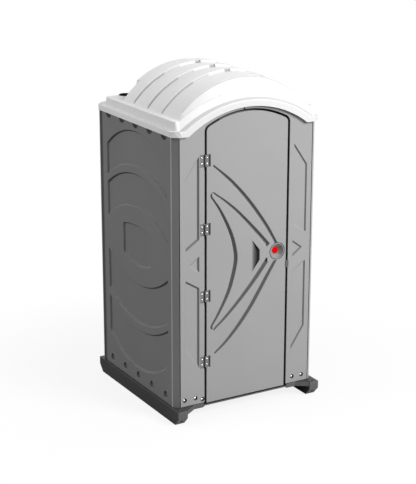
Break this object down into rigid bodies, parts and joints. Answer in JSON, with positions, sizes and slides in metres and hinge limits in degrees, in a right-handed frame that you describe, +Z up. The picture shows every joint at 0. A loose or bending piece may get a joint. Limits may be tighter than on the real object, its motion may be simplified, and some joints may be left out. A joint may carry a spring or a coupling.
{
  "type": "portable dry toilet",
  "caption": "Portable dry toilet cabin on two skids, with a hinged arched door, a vaulted roof, a waste tank with seat and lid, a urinal and a vent pipe.",
  "frame": {"origin": "on the ground, in the middle of the plan's bounding box", "axes": "+Z up; the door faces -Y; +X to the right of someone who faces the door"},
  "size_m": [1.17, 1.2354, 2.4023],
  "materials": {
    "side_grey": "moulded dark grey, fine grain",
    "front_grey": "moulded mid grey, fine grain",
    "roof_white": "moulded white, satin",
    "base_black": "moulded black, dull",
    "signal_red": "glossy red",
    "inner_grey": "moulded grey",
    "paper_white": "soft tissue",
    "steel": "zinc plated"
  },
  "bodies": {
    "cabin": {"skid_left": "base_black", "skid_right": "base_black", "front_crossmember": "base_black", "rear_crossmember": "base_black", "floor_pan": "base_black", "front_left_post": "front_grey", "front_right_post": "front_grey", "rear_left_post": "front_grey", "rear_right_post": "front_grey", "side_panel_left": "side_grey", "side_panel_right": "side_grey", "rear_panel": "side_grey", "front_panel_left": "front_grey", "front_panel_right": "front_grey", "front_bolt_1": "steel", "front_bolt_2": "steel", "front_bolt_3": "steel", "front_bolt_4": "steel", "front_bolt_5": "steel", "roof_shell": "roof_white", "vent_pipe": "base_black", "lock_keeper": "steel", "waste_tank": "base_black", "seat_hinge_bracket_left": "base_black", "seat_hinge_bracket_right": "base_black", "seat_hinge_pin": "steel", "urinal": "base_black", "urinal_drain_pipe": "base_black", "paper_holder": "inner_grey", "paper_spindle": "inner_grey", "hinge_1_frame_leaf": "front_grey", "hinge_1_pin": "steel", "hinge_2_frame_leaf": "front_grey", "hinge_2_pin": "steel", "hinge_3_frame_leaf": "front_grey", "hinge_3_pin": "steel", "hinge_4_frame_leaf": "front_grey", "hinge_4_pin": "steel"},
    "door": {"door_panel": "front_grey", "door_edge_lug": "front_grey", "lock_bowl": "front_grey", "hinge_1_door_leaf": "front_grey", "hinge_2_door_leaf": "front_grey", "hinge_3_door_leaf": "front_grey", "hinge_4_door_leaf": "front_grey"},
    "lock": {"occupancy_disc": "signal_red", "lock_spindle": "steel", "lock_tongue": "steel", "inner_knob": "base_black"},
    "seat": {"toilet_seat": "base_black"},
    "lid": {"toilet_lid": "base_black"},
    "paper": {"paper_roll": "paper_white", "paper_core": "paper_white"}
  },
  "joints": [
    {"name": "door_hinge", "type": "hinge", "parent": "cabin", "child": "door", "pos_m": [-0.3325, -0.54555, 0.1103], "axis": [0, 0, -1], "range_deg": [0, 110]},
    {"name": "lock_turn", "type": "hinge", "parent": "door", "child": "lock", "pos_m": [0.252, -0.54825, 1.1323], "axis": [0, 1, 0], "range_deg": [0, 90]},
    {"name": "seat_hinge", "type": "hinge", "parent": "cabin", "child": "seat", "pos_m": [0, 0.49225, 0.6056], "axis": [-1, 0, 0], "range_deg": [0, 92]},
    {"name": "lid_hinge", "type": "hinge", "parent": "cabin", "child": "lid", "pos_m": [0, 0.49225, 0.6056], "axis": [-1, 0, 0], "range_deg": [-95, 0]},
    {"name": "paper_spin", "type": "hinge", "parent": "cabin", "child": "paper", "pos_m": [-0.4907, 0.04275, 0.8786], "axis": [0, 1, 0], "continuous": true}
  ]
}
